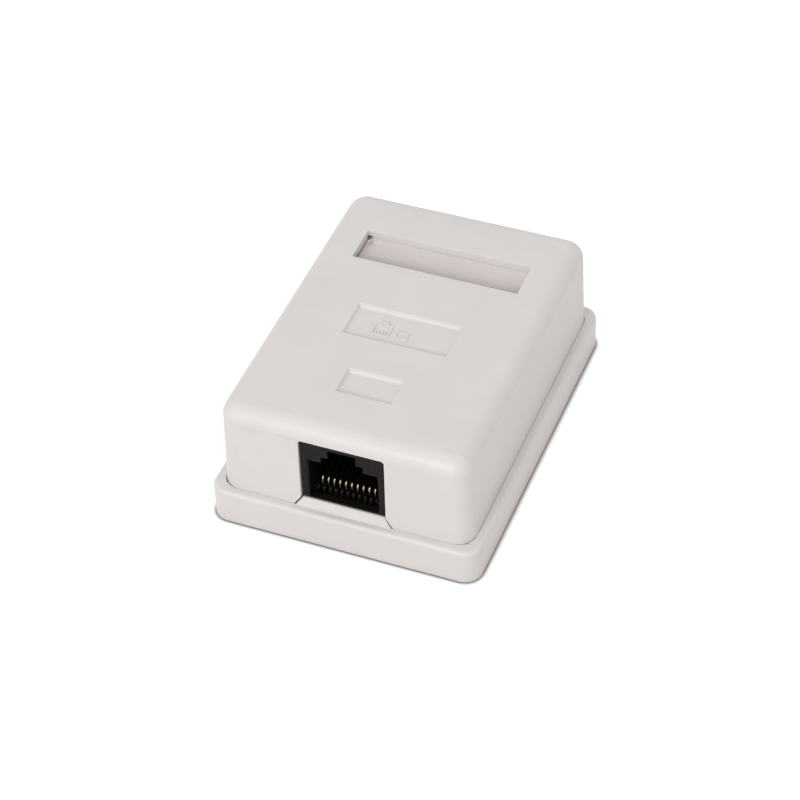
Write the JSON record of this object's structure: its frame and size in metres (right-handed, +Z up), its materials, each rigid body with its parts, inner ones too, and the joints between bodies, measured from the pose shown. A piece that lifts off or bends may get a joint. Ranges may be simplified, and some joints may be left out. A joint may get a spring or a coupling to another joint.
{
  "type": "surface mount jack box",
  "caption": "Small white box that fixes to a wall and holds a modular network jack in its front, with a lift-off cover and a label window.",
  "frame": {"origin": "centre of the base's underside", "axes": "+Z up out of the wall or desk, -Y out of the jack opening, +X to the right of someone facing the jack"},
  "size_m": [0.047, 0.064, 0.0239],
  "materials": {
    "white_abs": "fine satin",
    "clear_plastic": "clear gloss",
    "card": "matte",
    "board": "satin solder mask",
    "black_plastic": "semi gloss",
    "gold_contact": "gold plated",
    "ivory_plastic": "semi gloss",
    "tinned_bronze": "tin plated",
    "zinc_steel": "zinc plated"
  },
  "bodies": {
    "base": {"base": "white_abs", "circuit_board": "board", "jack_housing": "black_plastic", "contact_carrier": "black_plastic", "contact_1": "gold_contact", "contact_2": "gold_contact", "contact_3": "gold_contact", "contact_4": "gold_contact", "contact_5": "gold_contact", "contact_6": "gold_contact", "contact_7": "gold_contact", "contact_8": "gold_contact", "contact_9": "gold_contact", "contact_10": "gold_contact", "idc_block_left": "ivory_plastic", "idc_block_right": "ivory_plastic", "idc_blade_1": "tinned_bronze", "idc_blade_2": "tinned_bronze", "idc_blade_3": "tinned_bronze", "idc_blade_4": "tinned_bronze", "idc_blade_5": "tinned_bronze", "idc_blade_6": "tinned_bronze", "idc_blade_7": "tinned_bronze", "idc_blade_8": "tinned_bronze", "idc_blade_9": "tinned_bronze", "idc_blade_10": "tinned_bronze", "board_screws": "zinc_steel"},
    "cover": {"cover": "white_abs", "label_card": "card"},
    "label_window": {"label_window": "clear_plastic"}
  },
  "joints": [
    {"name": "cover_lift", "type": "slide", "parent": "base", "child": "cover", "axis": [0, 0, 1], "range_m": [0, 0.028]},
    {"name": "window_lift", "type": "slide", "parent": "cover", "child": "label_window", "axis": [0, 0, 1], "range_m": [0, 0.006]}
  ]
}
